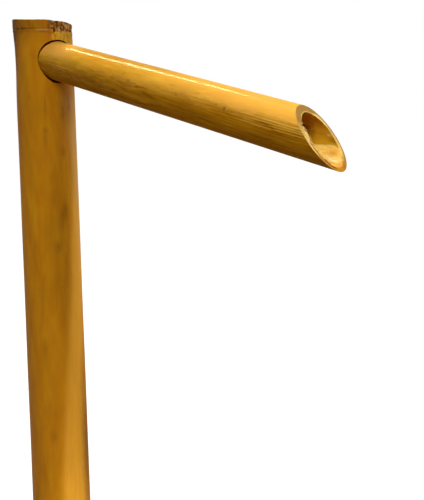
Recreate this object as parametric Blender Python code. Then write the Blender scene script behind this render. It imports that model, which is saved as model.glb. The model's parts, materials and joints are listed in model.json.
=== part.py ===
"""Bamboo water spout: an upright bamboo post with a sloping bamboo arm let into its head.

Units are metres and +Z is up. The origin is on the post's axis at the cut underside of its foot.
The arm leaves the post towards +X and slopes down to a slanted open mouth. Water rises inside the
post through a hose, turns at a barbed elbow and runs along the floor of the arm in a second hose.
"""

import math

import bmesh
import bpy
from mathutils import Matrix, Vector

# Post: a length of culm cut just above one node, tapering a little towards the head
POST_HEIGHT = 0.640
POST_TOP_RADIUS = 0.02835
POST_FOOT_RADIUS = 0.03117
POST_WALL = 0.0070
RIM_CHAMFER = 0.0005
TOP_NODE_DROP = 0.0083
FOOT_NODE_HEIGHT = 0.105
NODE_RIDGE = 0.0013
NODE_BAND = 0.0120
DIAPHRAGM = 0.0050

# Branch scar at the head: the rim falls away on one side where the branch was trimmed off
SCAR_AZIMUTH = math.radians(75.0)
SCAR_START = 0.0037
SCAR_FALL = math.radians(8.5)

# Arm: a thinner culm, cut square at the butt and on a slant at the mouth
ARM_DROP = 0.0345
ARM_SLOPE = math.radians(9.8)
ARM_REACH = 0.3804
ARM_BUTT_RADIUS = 0.01843
ARM_MOUTH_RADIUS = 0.01874
ARM_WALL = 0.0043
ARM_BUTT_GAP = 0.0020
ARM_CHAMFER = 0.0004
MOUTH_ANGLE = math.radians(37.9)
MOUTH_TWIST = math.radians(6.6)

# Sleeve: thin rubber between the arm and its socket, just below the face of the post
SLEEVE_WALL = 0.0010
SLEEVE_SET_BACK = 0.0006

# Hose: soft vinyl, the same for the riser and for the outlet
HOSE_BORE_RADIUS = 0.00635
HOSE_WALL = 0.00165
HOSE_POINT_SPACING = 0.040
OUTLET_SET_BACK = 0.056

# Barbed fittings: the elbow at the head and the straight tail at the foot
FITTING_WALL = 0.0014
BARB_LENGTH = 0.0140
BARB_DEPTH = 0.0005
BARB_COUNT = 3
ELBOW_CORNER_GAP = 0.0005
FLANGE_OVERLAP = 0.0040
FLANGE_THICKNESS = 0.0040
TAIL_NECK = 0.0030

# Hose clips: a sprung steel band with two ears
CLIP_WALL = 0.0010
CLIP_WIDTH = 0.0070
CLIP_INSET = 0.0035
EAR_LENGTH = 0.0045
EAR_THICKNESS = 0.0010
EAR_GAP = 0.0016

# Clearances and the overrun of every cutter past the face it opens
FIT_GAP = 0.0003
BORE_CLEARANCE = 0.0007
CUT_OVERRUN = 0.0100

# Counts: sides of the large and small round pieces, and steps round the elbow's bend
ROUND_SIDES = 64
SMALL_SIDES = 24
BEND_STEPS = 8

SLOPE_COS = math.cos(ARM_SLOPE)
SLOPE_SIN = math.sin(ARM_SLOPE)
HOSE_RADIUS = HOSE_BORE_RADIUS + HOSE_WALL
BARB_RADIUS = HOSE_BORE_RADIUS - FIT_GAP
FITTING_BORE = BARB_RADIUS - BARB_DEPTH - FITTING_WALL
CLIP_RADIUS = HOSE_RADIUS + FIT_GAP + CLIP_WALL
ARM_HEIGHT = POST_HEIGHT - ARM_DROP


def post_radius(height):
    """Outer radius of the plain culm at a height above the foot."""
    share = height / POST_HEIGHT
    return POST_FOOT_RADIUS + (POST_TOP_RADIUS - POST_FOOT_RADIUS) * share


def arm_radius(along):
    """Outer radius of the arm at a distance along its axis from the post's axis."""
    share = along / ARM_REACH
    return ARM_BUTT_RADIUS + (ARM_MOUTH_RADIUS - ARM_BUTT_RADIUS) * share


# Places that follow from the sizes above. The riser stands at the back of the post's bore, and the
# arm's butt ends clear of it. The socket takes the arm, the sleeve and a gap on each side of it.
RISER_OFFSET = post_radius(ARM_HEIGHT) - POST_WALL - BORE_CLEARANCE - CLIP_RADIUS
ARM_BUTT = (CLIP_RADIUS + ARM_BUTT_GAP + ARM_BUTT_RADIUS * SLOPE_SIN - RISER_OFFSET) / SLOPE_COS
SOCKET_FACE = (post_radius(ARM_HEIGHT) + ARM_BUTT_RADIUS * SLOPE_SIN) / SLOPE_COS
SLEEVE_BORE = arm_radius(SOCKET_FACE) + FIT_GAP
SLEEVE_RADIUS = SLEEVE_BORE + SLEEVE_WALL
SOCKET_RADIUS = SLEEVE_RADIUS + FIT_GAP

# The outlet hose lies on the arm's floor, so its axis runs below the arm's. The elbow's centre is
# where that axis crosses the riser's, and its two shoulders keep the hoses' ends apart.
HOSE_SINK = arm_radius(ARM_BUTT) - ARM_WALL - FIT_GAP - HOSE_RADIUS
ELBOW_ALONG = (HOSE_SINK * SLOPE_SIN - RISER_OFFSET) / SLOPE_COS
ELBOW_CENTRE = Vector((-RISER_OFFSET, 0, ARM_HEIGHT - HOSE_SINK * SLOPE_COS - ELBOW_ALONG * SLOPE_SIN))
ELBOW_REACH = HOSE_RADIUS * (1 + SLOPE_SIN) / SLOPE_COS + ELBOW_CORNER_GAP
ARM_DIRECTION = Vector((SLOPE_COS, 0, -SLOPE_SIN))


def clear_scene():
    for old in list(bpy.data.objects):
        bpy.data.objects.remove(old, do_unlink=True)


def make_material(name, colour, roughness, metallic=0.0):
    """Principled material with a plain colour, roughness and metallic value."""
    material = bpy.data.materials.new(name)
    material.use_nodes = True
    shader = material.node_tree.nodes["Principled BSDF"]
    shader.inputs["Base Color"].default_value = (*colour, 1.0)
    shader.inputs["Roughness"].default_value = roughness
    shader.inputs["Metallic"].default_value = metallic
    return material


def add_object(name, bm, material=None, parent=None):
    """Turn a finished bmesh into an object shaded smooth, with its corners kept sharp."""
    bmesh.ops.recalc_face_normals(bm, faces=bm.faces)
    mesh = bpy.data.meshes.new(name)
    bm.to_mesh(mesh)
    bm.free()
    mesh.shade_smooth()
    mesh.set_sharp_from_angle(angle=math.radians(35))
    if material:
        mesh.materials.append(material)
    obj = bpy.data.objects.new(name, mesh)
    bpy.context.scene.collection.objects.link(obj)
    obj.parent = parent
    return obj


def turned(name, profile, sides, material=None, parent=None):
    """Spin a closed outline of (radius, height) points round the local Z axis."""
    bm = bmesh.new()
    points = [bm.verts.new((radius, 0, height)) for radius, height in profile]
    on_axis = profile[0][0] == 0 and profile[-1][0] == 0
    pairs = list(zip(points, points[1:]))
    if not on_axis:
        pairs.append((points[-1], points[0]))
    edges = [bm.edges.new(pair) for pair in pairs]
    bmesh.ops.spin(bm, geom=points + edges, cent=(0, 0, 0), axis=(0, 0, 1), dvec=(0, 0, 0),
                   angle=math.tau, steps=sides, use_merge=True, use_duplicate=False)
    bmesh.ops.remove_doubles(bm, verts=bm.verts, dist=FIT_GAP * FIT_GAP)
    return add_object(name, bm, material, parent)


def swept(name, path, outer_radii, bore_radii, material):
    """Tube along a path in the XZ plane, open at both ends, with its own radii at every point."""
    bm = bmesh.new()
    rings = []
    stations = list(zip(path, outer_radii)) + list(zip(reversed(path), reversed(bore_radii)))
    tangents = []
    for index in range(len(path)):
        before = path[max(index - 1, 0)]
        after = path[min(index + 1, len(path) - 1)]
        tangents.append((after - before).normalized())
    tangents = tangents + tangents[::-1]
    side = Vector((0, 1, 0))
    for (point, radius), tangent in zip(stations, tangents):
        across = tangent.cross(side)
        ring = []
        for step in range(SMALL_SIDES):
            angle = math.tau * step / SMALL_SIDES
            offset = across * math.cos(angle) + side * math.sin(angle)
            ring.append(bm.verts.new(point + offset * radius))
        rings.append(ring)
    for ring, following in zip(rings, rings[1:] + rings[:1]):
        for step in range(SMALL_SIDES):
            turn = (step + 1) % SMALL_SIDES
            bm.faces.new((ring[step], ring[turn], following[turn], following[step]))
    return add_object(name, bm, material)


def cut_with(obj, cutter, operation="DIFFERENCE"):
    """Boolean one solid with another, and keep the other as a wire guide."""
    cutter.hide_render = True
    cutter.display_type = "WIRE"
    cut = obj.modifiers.new(cutter.name, "BOOLEAN")
    cut.operation = operation
    cut.object = cutter
    cut.solver = "EXACT"


def slab_cutter(name, point, normal, size, parent=None):
    """Cube whose lower face is centred on a point, with the cube on the side of the normal."""
    bm = bmesh.new()
    bmesh.ops.create_cube(bm, size=size)
    bmesh.ops.translate(bm, verts=bm.verts, vec=(0, 0, size / 2))
    cutter = add_object(name, bm, parent=parent)
    cutter.rotation_euler = normal.to_track_quat("Z", "Y").to_euler()
    cutter.location = point
    return cutter


def rod_cutter(name, radius, start, end, sides, parent=None):
    """Plain cylinder along the local Z axis between two heights."""
    profile = [(0, end), (radius, end), (radius, start), (0, start)]
    return turned(name, profile, sides, parent=parent)


def node_ridge(height):
    """Swelling of the culm round a node: three points that rise and fall across the node's band."""
    half = NODE_BAND / 2
    return [
        (post_radius(height + half), height + half),
        (post_radius(height) + NODE_RIDGE, height),
        (post_radius(height - half), height - half),
    ]


def make_post(material):
    """Culm with two nodes: the one at the head stays whole, the one at the foot is bored."""
    top_node = POST_HEIGHT - TOP_NODE_DROP
    half = DIAPHRAGM / 2
    rim = post_radius(POST_HEIGHT) + NODE_RIDGE / 2
    foot = post_radius(0)
    hose_hole = HOSE_RADIUS + FIT_GAP
    cup = post_radius(top_node) - POST_WALL
    lower_bore = post_radius(FOOT_NODE_HEIGHT) - POST_WALL
    profile = [
        (0, top_node + half),
        (cup, top_node + half),
        (cup, POST_HEIGHT),
        (rim - RIM_CHAMFER, POST_HEIGHT),
        (rim, POST_HEIGHT - RIM_CHAMFER),
        (post_radius(top_node) + NODE_RIDGE, top_node),
        (post_radius(top_node - NODE_BAND), top_node - NODE_BAND),
        *node_ridge(FOOT_NODE_HEIGHT),
        (foot, RIM_CHAMFER),
        (foot - RIM_CHAMFER, 0),
        (foot - POST_WALL, 0),
        (lower_bore, FOOT_NODE_HEIGHT - half),
        (hose_hole, FOOT_NODE_HEIGHT - half),
        (hose_hole, FOOT_NODE_HEIGHT + half),
        (lower_bore, FOOT_NODE_HEIGHT + half),
        (cup, top_node - half),
        (0, top_node - half),
    ]
    return turned("post", profile, ROUND_SIDES, material)


def trim_branch_scar(post):
    """Slanting slice off the rim on the side where the branch grew."""
    outward = Vector((math.cos(SCAR_AZIMUTH), math.sin(SCAR_AZIMUTH), 0))
    normal = outward * math.sin(SCAR_FALL) + Vector((0, 0, math.cos(SCAR_FALL)))
    point = outward * SCAR_START + Vector((0, 0, POST_HEIGHT))
    cut_with(post, slab_cutter("scar_cutter", point, normal, POST_FOOT_RADIUS * 4))


def bore_socket(post, arm_axis):
    """Round hole through the near wall of the post, on the arm's axis."""
    end = SOCKET_FACE + SOCKET_RADIUS + CUT_OVERRUN
    cut_with(post, rod_cutter("socket_cutter", SOCKET_RADIUS, ARM_BUTT, end, ROUND_SIDES, arm_axis))


def make_arm_axis():
    """Empty on the arm's axis where it crosses the post's: local Z runs down the arm."""
    axis = bpy.data.objects.new("arm_axis", None)
    bpy.context.scene.collection.objects.link(axis)
    axis.location = (0, 0, ARM_HEIGHT)
    axis.rotation_euler = (0, math.pi / 2 + ARM_SLOPE, 0)
    return axis


def make_arm(material, arm_axis):
    """Open tube from the butt to past the mouth, then cut on the slant."""
    far = ARM_REACH + arm_radius(ARM_REACH) / math.tan(MOUTH_ANGLE) + CUT_OVERRUN
    butt = arm_radius(ARM_BUTT)
    profile = [
        (arm_radius(far) - ARM_WALL, far),
        (arm_radius(far), far),
        (arm_radius(ARM_BUTT + ARM_CHAMFER), ARM_BUTT + ARM_CHAMFER),
        (butt - ARM_CHAMFER, ARM_BUTT),
        (butt - ARM_WALL, ARM_BUTT),
    ]
    arm = turned("spout_arm", profile, ROUND_SIDES, material, arm_axis)
    sideways = Vector((-math.cos(MOUTH_TWIST), math.sin(MOUTH_TWIST), 0))
    normal = sideways * math.cos(MOUTH_ANGLE) + Vector((0, 0, math.sin(MOUTH_ANGLE)))
    point = Vector((0, 0, ARM_REACH))
    cut_with(arm, slab_cutter("mouth_cutter", point, normal, ARM_REACH, arm_axis))
    return arm


def make_sleeve(material, arm_axis):
    """Thin ring round the arm in its socket, with its outer end following the post's face."""
    end = SOCKET_FACE + SOCKET_RADIUS
    profile = [
        (SLEEVE_BORE, end),
        (SLEEVE_RADIUS, end),
        (SLEEVE_RADIUS, ARM_BUTT),
        (SLEEVE_BORE, ARM_BUTT),
    ]
    sleeve = turned("socket_sleeve", profile, ROUND_SIDES, material, arm_axis)
    low = ARM_HEIGHT - SLEEVE_RADIUS - SOCKET_FACE
    high = ARM_HEIGHT + SLEEVE_RADIUS + SOCKET_FACE
    face = [
        (0, high),
        (post_radius(high) - SLEEVE_SET_BACK, high),
        (post_radius(low) - SLEEVE_SET_BACK, low),
        (0, low),
    ]
    cut_with(sleeve, turned("face_guide", face, ROUND_SIDES), "INTERSECT")
    return sleeve


def barb_rings(start, direction, length):
    """Path points and outer radii of a row of barbs, each rising to a sharp back edge."""
    points = []
    radii = []
    pitch = length / BARB_COUNT
    for barb in range(BARB_COUNT):
        foot = start + direction * (pitch * barb)
        points += [foot, foot + direction * (pitch / BARB_COUNT), foot + direction * pitch]
        radii += [BARB_RADIUS - BARB_DEPTH, BARB_RADIUS, BARB_RADIUS - BARB_DEPTH]
    return points, radii


def spread_apart(path, radii):
    """Drop the repeated points where one barb ends and the next begins."""
    kept = [(path[0], radii[0])]
    for point, radius in zip(path[1:], radii[1:]):
        if (point - kept[-1][0]).length > FIT_GAP * FIT_GAP:
            kept.append((point, radius))
    return [point for point, radius in kept], [radius for point, radius in kept]


def make_elbow(material):
    """Bent fitting: a barbed end down into the riser and another out into the outlet hose."""
    down = Vector((0, 0, -1))
    lower, lower_radii = barb_rings(ELBOW_CENTRE + down * ELBOW_REACH, down, BARB_LENGTH)
    outer, outer_radii = barb_rings(ELBOW_CENTRE + ARM_DIRECTION * ELBOW_REACH, ARM_DIRECTION, BARB_LENGTH)
    bend = []
    for step in range(BEND_STEPS + 1):
        share = step / BEND_STEPS
        start = ELBOW_CENTRE + down * ELBOW_REACH * (1 - share)
        end = ELBOW_CENTRE + ARM_DIRECTION * ELBOW_REACH * share
        bend.append(start.lerp(end, share))
    step_in = FIT_GAP
    path = lower[::-1]
    radii = lower_radii[::-1]
    path = path[:-1] + [bend[0] + down * step_in] + bend + [bend[-1] + ARM_DIRECTION * step_in] + outer[1:]
    shoulder = [HOSE_RADIUS] * len(bend)
    radii = radii[:-1] + [BARB_RADIUS - BARB_DEPTH] + shoulder + [BARB_RADIUS - BARB_DEPTH] + outer_radii[1:]
    path, radii = spread_apart(path, radii)
    return swept("elbow", path, radii, [FITTING_BORE] * len(path), material)


def riser_point(share, low, high):
    """Point on the riser: from the foot's centre line it eases back to the rear of the bore."""
    ease = share * share * (3 - 2 * share)
    return Vector((-RISER_OFFSET * ease, 0, low + (high - low) * share))


def make_riser(material):
    """Hose from the tail at the foot, through the bored node, up to the elbow."""
    low = FOOT_NODE_HEIGHT - DIAPHRAGM / 2
    straight_low = low + DIAPHRAGM + BARB_LENGTH + CLIP_WIDTH
    high = ELBOW_CENTRE.z - ELBOW_REACH - FIT_GAP * 2
    straight_high = high - BARB_LENGTH - CLIP_WIDTH
    count = round((straight_high - straight_low) / HOSE_POINT_SPACING)
    path = [Vector((0, 0, low))]
    path += [riser_point(step / count, straight_low, straight_high) for step in range(count + 1)]
    path.append(Vector((-RISER_OFFSET, 0, high)))
    ends = len(path)
    return swept("riser_hose", path, [HOSE_RADIUS] * ends, [HOSE_BORE_RADIUS] * ends, material)


def make_outlet(material):
    """Hose from the elbow along the floor of the arm, ending out of sight behind the mouth."""
    start = ELBOW_CENTRE + ARM_DIRECTION * (ELBOW_REACH + FIT_GAP * 2)
    mouth_edge = ARM_REACH - arm_radius(ARM_REACH) / math.tan(MOUTH_ANGLE)
    length = mouth_edge - OUTLET_SET_BACK - (ELBOW_ALONG + ELBOW_REACH)
    path = [start, start + ARM_DIRECTION * length]
    return swept("outlet_hose", path, [HOSE_RADIUS] * 2, [HOSE_BORE_RADIUS] * 2, material)


def make_tail(material):
    """Straight fitting at the foot: barbs up into the riser, a flange under the node, barbs down."""
    up = Vector((0, 0, 1))
    flange_top = FOOT_NODE_HEIGHT - DIAPHRAGM / 2 - FIT_GAP
    flange_low = flange_top - FLANGE_THICKNESS
    flange = HOSE_RADIUS + FIT_GAP + FLANGE_OVERLAP
    upper, upper_radii = barb_rings(Vector((0, 0, flange_top)), up, BARB_LENGTH)
    lower, lower_radii = barb_rings(Vector((0, 0, flange_low - TAIL_NECK)), -up, BARB_LENGTH)
    outline = list(zip(upper_radii, [point.z for point in upper]))[::-1]
    outline += [(flange, flange_top), (flange, flange_low)]
    outline += [(BARB_RADIUS - BARB_DEPTH, flange_low)]
    outline += list(zip(lower_radii, [point.z for point in lower]))
    thinned = [outline[0]]
    for point in outline[1:]:
        if abs(point[0] - thinned[-1][0]) + abs(point[1] - thinned[-1][1]) > FIT_GAP * FIT_GAP:
            thinned.append(point)
    bore = [(FITTING_BORE, thinned[-1][1]), (FITTING_BORE, thinned[0][1])]
    return turned("inlet_tail", thinned + bore, SMALL_SIDES, material)


def make_clip(name, material, centre):
    """Sprung band round the hose with two short ears standing out to one side."""
    inner = HOSE_RADIUS + FIT_GAP
    half = CLIP_WIDTH / 2
    profile = [(inner, half), (CLIP_RADIUS, half), (CLIP_RADIUS, -half), (inner, -half)]
    clip = turned(name, profile, SMALL_SIDES, material)
    clip.location = centre
    for side in (-1, 1):
        bm = bmesh.new()
        reach = EAR_LENGTH + CLIP_WALL / 2
        size = Matrix.Diagonal((EAR_THICKNESS, reach, CLIP_WIDTH, 1.0))
        bmesh.ops.create_cube(bm, size=1.0, matrix=size)
        ear = add_object(f"{name}_ear_{side}", bm)
        across = side * (EAR_GAP + EAR_THICKNESS) / 2
        ear.location = centre + Vector((across, CLIP_RADIUS - CLIP_WALL / 2 + reach / 2, 0))
        cut_with(clip, ear, "UNION")
    return clip


def build():
    clear_scene()
    post_bamboo = make_material("lacquered_post_bamboo", (0.34, 0.14, 0.014), 0.35)
    arm_bamboo = make_material("lacquered_arm_bamboo", (0.66, 0.33, 0.030), 0.22)
    rubber = make_material("dark_rubber", (0.030, 0.012, 0.010), 0.70)
    vinyl = make_material("black_vinyl", (0.020, 0.020, 0.022), 0.45)
    moulding = make_material("moulded_fitting", (0.055, 0.055, 0.060), 0.50)
    steel = make_material("sprung_steel", (0.55, 0.55, 0.56), 0.30, 1.0)

    arm_axis = make_arm_axis()
    post = make_post(post_bamboo)
    trim_branch_scar(post)
    bore_socket(post, arm_axis)
    make_arm(arm_bamboo, arm_axis)
    make_sleeve(rubber, arm_axis)
    make_elbow(moulding)
    make_riser(vinyl)
    make_outlet(vinyl)
    make_tail(moulding)

    lower_clip = Vector((0, 0, FOOT_NODE_HEIGHT + DIAPHRAGM / 2 + CLIP_INSET + CLIP_WIDTH / 2))
    riser_top = ELBOW_CENTRE.z - ELBOW_REACH
    upper_clip = Vector((-RISER_OFFSET, 0, riser_top - CLIP_INSET - CLIP_WIDTH / 2))
    make_clip("lower_clip", steel, lower_clip)
    make_clip("upper_clip", steel, upper_clip)
    bpy.context.view_layer.update()


build()
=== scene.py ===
import json
import math
from functools import partial

import bpy
import numpy as np
from mathutils import Matrix, Vector


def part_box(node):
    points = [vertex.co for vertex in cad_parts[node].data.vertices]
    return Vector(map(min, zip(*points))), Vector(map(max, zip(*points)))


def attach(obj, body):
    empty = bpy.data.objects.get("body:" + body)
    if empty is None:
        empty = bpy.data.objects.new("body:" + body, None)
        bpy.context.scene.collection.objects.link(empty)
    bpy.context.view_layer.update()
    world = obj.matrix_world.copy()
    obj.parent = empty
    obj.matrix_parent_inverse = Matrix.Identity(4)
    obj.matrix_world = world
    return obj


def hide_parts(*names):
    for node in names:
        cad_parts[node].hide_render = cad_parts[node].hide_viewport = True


# Bamboo water spout: the finish of every surface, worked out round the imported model
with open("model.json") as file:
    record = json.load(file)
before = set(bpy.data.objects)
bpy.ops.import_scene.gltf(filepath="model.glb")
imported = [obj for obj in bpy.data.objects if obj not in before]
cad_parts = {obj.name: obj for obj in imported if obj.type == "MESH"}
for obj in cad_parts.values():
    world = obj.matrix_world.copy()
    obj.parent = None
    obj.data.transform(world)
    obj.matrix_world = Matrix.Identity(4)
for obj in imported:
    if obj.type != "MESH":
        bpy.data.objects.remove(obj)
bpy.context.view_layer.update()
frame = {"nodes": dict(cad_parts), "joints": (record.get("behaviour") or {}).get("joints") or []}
print("frame loaded:", len(frame["nodes"]), "nodes")

mm = 0.001
joint = [item for item in frame["joints"] if item["name"] == "arm_turn"][0]
armPivot = np.array(joint["pos_m"])
armAlong = np.array(joint["axis"]) / np.linalg.norm(joint["axis"])
armSide = np.array([0.0, 1.0, 0.0])
armUp = np.cross(armSide, -armAlong)  # square to the arm, pointing up
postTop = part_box("post")[1].z

# Radii at which noise and marks are laid out round each surface
patternRadius = {
    "post": 29 * mm, "postRim": 25 * mm, "postEdge": 28 * mm,
    "arm": 18.5 * mm, "armMarks": 18.6 * mm, "mouthCut": 16.5 * mm,
    "bore": 14.2 * mm, "boreMarks": 15.2 * mm,
}

# Where each finish lies on a culm: one value from 0 to 1 for each point
bambooFields = (
    "cutWood", "inside", "scar", "torn", "flake", "stain", "bleach",
    "worn", "fresh", "dampAndLit", "wet", "shade", "amber", "glint",
)

# What a row of points lies on
skinRow = 1
cutRow = 2
innerRow = 3


# Helpers for arrays

def smoothStep(values, low, high):
    # 3t^2 - 2t^3 with t running from 0 at low to 1 at high
    t = np.clip((values - low) / (high - low), 0, 1)
    return t * t * (3 - 2 * t)


def softBand(values, low, high, soft):
    # 1 between low and high, fading to 0 over the soft distance on both sides
    return smoothStep(values, low - soft, low + soft) * (1 - smoothStep(values, high - soft, high + soft))


def hump(distance, width):
    # exp(-(distance / width)^2): 1 in the middle, fading on both sides
    return np.exp(-(distance / width) ** 2)


def asColumn(values):
    return np.asarray(values, float)[:, None]


def steps(low, high, count):
    return asColumn(np.linspace(low, high, count))


def fullTurn(count):
    # angles of the columns round a tube
    return np.linspace(0, math.tau, count, endpoint=False)


def tubePoints(angle, radius, place):
    # points of a tube in its own frame, with its axis along z
    return np.stack([radius * np.cos(angle), radius * np.sin(angle), place], axis=-1).reshape(-1, 3)


def degreesRound(angle):
    # degrees from -180 to 180
    return (np.degrees(angle) + 180) % 360 - 180


def latticeNoise(across, along, cells, seed):
    # random heights from -1 to 1 on a lattice, eased between its points; it closes after `cells` across
    rng = np.random.default_rng(seed)
    rows = int(np.max(along)) + 3
    heights = rng.uniform(-1, 1, (cells, rows))
    column = np.floor(across).astype(int)
    row = np.floor(along).astype(int)
    fu = smoothStep(across - column, 0, 1)
    fv = smoothStep(along - row, 0, 1)
    left = column % cells
    right = (column + 1) % cells
    low = heights[left, row] * (1 - fu) + heights[right, row] * fu
    high = heights[left, row + 1] * (1 - fu) + heights[right, row + 1] * fu
    return low * (1 - fv) + high * fv


def surfaceNoise(angle, along, surface, cellAcross, cellAlong, seed):
    # lattice noise laid round a tube, with its cells in metres round and along
    cells = round(math.tau * patternRadius[surface] / cellAcross)
    turns = (angle / math.tau) % 1.0
    return latticeNoise(turns * cells, np.maximum(along, 0) / cellAlong, cells, seed)


def softSpots(spots, angle, along, surface):
    # sum of strength * exp(-0.7 (across^2 + down^2)): soft ellipses on the unrolled skin of a tube
    total = np.zeros_like(along)
    for azimuth, place, halfWidth, halfLength, strength in spots:
        away = (angle - math.radians(azimuth) + math.pi) % math.tau - math.pi
        across = away * patternRadius[surface] / mm / halfWidth
        down = (along / mm - place) / halfLength
        total = total + strength * np.exp(-(across ** 2 + down ** 2) * 0.7)
    return np.clip(total, 0, 1)


def startRows(around):
    # an empty list, and the function that adds rows to it: radius, place along, and what they lie on
    parts = []

    def addRows(radius, place, kind):
        shape = (len(radius), around)
        parts.append((np.broadcast_to(radius, shape), np.broadcast_to(place, shape), np.full(shape, kind)))

    return parts, addRows


def addObject(name, data):
    added = bpy.data.objects.new(name, data)
    bpy.context.scene.collection.objects.link(added)
    return added


def makeMesh(name, vertices, faces, attributes=None):
    mesh = bpy.data.meshes.new(name)
    mesh.from_pydata(vertices.tolist(), [], faces)
    mesh.shade_smooth()
    for key, values in (attributes or {}).items():
        kind = "FLOAT_VECTOR" if values.ndim == 2 else "FLOAT"
        layer = mesh.attributes.new(key, kind, "POINT")
        layer.data.foreach_set("vector" if values.ndim == 2 else "value", values.astype(np.float32).ravel())
    mesh.validate()
    return addObject(name, mesh)


def ringFaces(rows, columns, closeRows):
    # quads between neighbouring rings; each ring closes on itself, and the last meets the first if asked
    last = rows if closeRows else rows - 1
    row = np.arange(last)[:, None]
    column = np.arange(columns)[None, :]
    nextRow = (row + 1) % rows
    nextColumn = (column + 1) % columns
    quads = np.stack([
        row * columns + column, nextRow * columns + column,
        nextRow * columns + nextColumn, row * columns + nextColumn], axis=-1)
    return quads.reshape(-1, 4).tolist()


def closedTube(rows, columns):
    # rings with a fan of triangles at each end; the two poles come after the points of the rings
    pole = rows * columns
    last = pole - columns
    index = np.arange(columns)
    following = (index + 1) % columns
    first = np.stack([index * 0 + pole, index, following], axis=-1)
    second = np.stack([index * 0 + pole + 1, last + following, last + index], axis=-1)
    return ringFaces(rows, columns, False) + np.stack([first, second], axis=1).reshape(-1, 3).tolist()


# Post: one outline of radius and height carried round the upright axis

postForm = {
    "around": 224,  # columns round the culm
    "topRadius": 28.35 * mm,
    "footRadius": 31.17 * mm,
    "wall": 7 * mm,
    "nodeDrop": 8.3 * mm,  # ring below the cut top
    "footNode": 105 * mm,
    "diaphragm": 5 * mm,
    "dish": 0.9 * mm,  # the top diaphragm is lower by this in its middle
    "hoseHole": 8.3 * mm,
    "headLength": 45 * mm,  # rows of points are close down to here
    "swellAzimuth": -120.0,  # degrees: the head swells most on this side
    "headSwell": 0.75 * mm,  # long swelling towards the head
    "ringStep": 0.45 * mm,  # short step under the ring
    "neck": 0.55 * mm,  # slight waist below the swelling
    "rimLift": 1.3 * mm,  # the cut rises this much on the swollen side
    "rimDip": 0.8 * mm,  # and sinks beside the scar
    "groove": 0.35 * mm,
    "footSwell": 1 * mm,
    "footChamfer": (0.5 * mm, 0.6 * mm),  # inwards, upwards
    "rimRound": 0.6 * mm,
    "chipAzimuth": 75.0,  # degrees: the side where the rim falls away
    "chipStart": 3.7 * mm,
    "chipFall": 8.5,  # degrees
    "scarFrom": -21.0,  # degrees round the post: branch scar
    "scarTo": 64.0,
    "scarDrop": 11.5 * mm,
    "fibreDrop": 23.5 * mm,  # pale torn fibres end this far below the top
    "socketAround": 96,
    "socketEnds": (3 * mm, 60 * mm),
    "socketRadius": 20.05 * mm,
    "socketClose": 1.05 * mm,  # the drilled edge comes this much closer to the arm on the near side
    "socketOpen": 0.8 * mm,  # and stands this much further off above and below that
    "socketBumps": ((262, 34), (325, 22), (200, 18)),  # degrees round and half width: near, above, below
}


def postRadius(height):
    # straight taper from the foot to the top
    share = height / postTop
    return postForm["footRadius"] + (postForm["topRadius"] - postForm["footRadius"]) * share


def scarMasks(angle, height):
    # how much a point lies in the branch scar, in the torn fibres under it, and in the small peeled flakes
    form = postForm
    degrees = degreesRound(angle)
    drop = postTop - height
    edge = surfaceNoise(angle, drop, "post", 5 * mm, 4 * mm, 11)
    slant = degrees - drop / mm * 0.7
    low = form["scarFrom"] + edge * 3
    end = form["scarDrop"] + edge * 1.5 * mm
    scar = softBand(slant, low, form["scarTo"], 2.5) * (1 - smoothStep(drop, end - 1 * mm, end + 1.5 * mm))
    fibres = softBand(degrees, form["scarFrom"] + 8 + edge * 4, form["scarTo"] + 2, 5)
    fibres = fibres * softBand(drop, form["scarDrop"] - 2 * mm, form["fibreDrop"], 3 * mm)
    flake = softBand(degrees, -41, -20, 4) * softBand(drop, 9 * mm, 10.3 * mm, 0.6 * mm)
    patch = softBand(degrees + 3 * edge, 18, 31, 3) * softBand(drop, 3.4 * mm, 6.8 * mm, 0.8 * mm)
    return scar, fibres * (1 - scar), np.maximum(flake, patch)


def postOutside(angle, height):
    # radius = taper + swelling at each node - groove at each ring + slow waves + torn wood at the scar
    form = postForm
    drop = postTop - height
    below = postTop - form["nodeDrop"] - height
    fromFoot = height - form["footNode"]
    side = 0.5 + 0.5 * np.cos(angle - math.radians(form["swellAzimuth"]))
    ledge = smoothStep(fromFoot, 2 * mm, 3.5 * mm) * hump(fromFoot, 14 * mm)
    rough = surfaceNoise(angle, drop, "post", 2.6 * mm, 2 * mm, 21)
    rough = rough + 0.6 * surfaceNoise(angle, drop, "post", 1.3 * mm, 1.1 * mm, 22)
    strands = surfaceNoise(angle, drop, "post", 1.4 * mm, 7 * mm, 23)
    scar, fibres, flake = scarMasks(angle, height)
    return (
        postRadius(height)
        + form["headSwell"] * (0.25 + 0.75 * side) * (1 - smoothStep(below, 2 * mm, 19 * mm))
        + form["ringStep"] * (0.35 + 0.65 * side) * (1 - smoothStep(below, 0.8 * mm, 4 * mm))
        - form["neck"] * side * hump(below - 38 * mm, 20 * mm)
        - form["groove"] * hump(below, 0.55 * mm)
        + form["footSwell"] * hump(fromFoot, 8 * mm)
        - form["groove"] * hump(fromFoot + 2.5 * mm, 0.6 * mm)
        - 0.25 * mm * ledge
        + 0.1 * mm * np.cos(2 * angle - 1.1) + 0.06 * mm * np.cos(3 * angle + 2.0)
        + 0.1 * mm * surfaceNoise(angle, height, "post", 30 * mm, 70 * mm, 3)
        + 0.02 * mm * surfaceNoise(angle, height, "post", 4 * mm, 30 * mm, 4)
        + scar * (0.5 * rough - 1.15) * mm
        + fibres * (0.26 * strands - 0.45) * mm
        + flake * 0.35 * mm)


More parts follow.
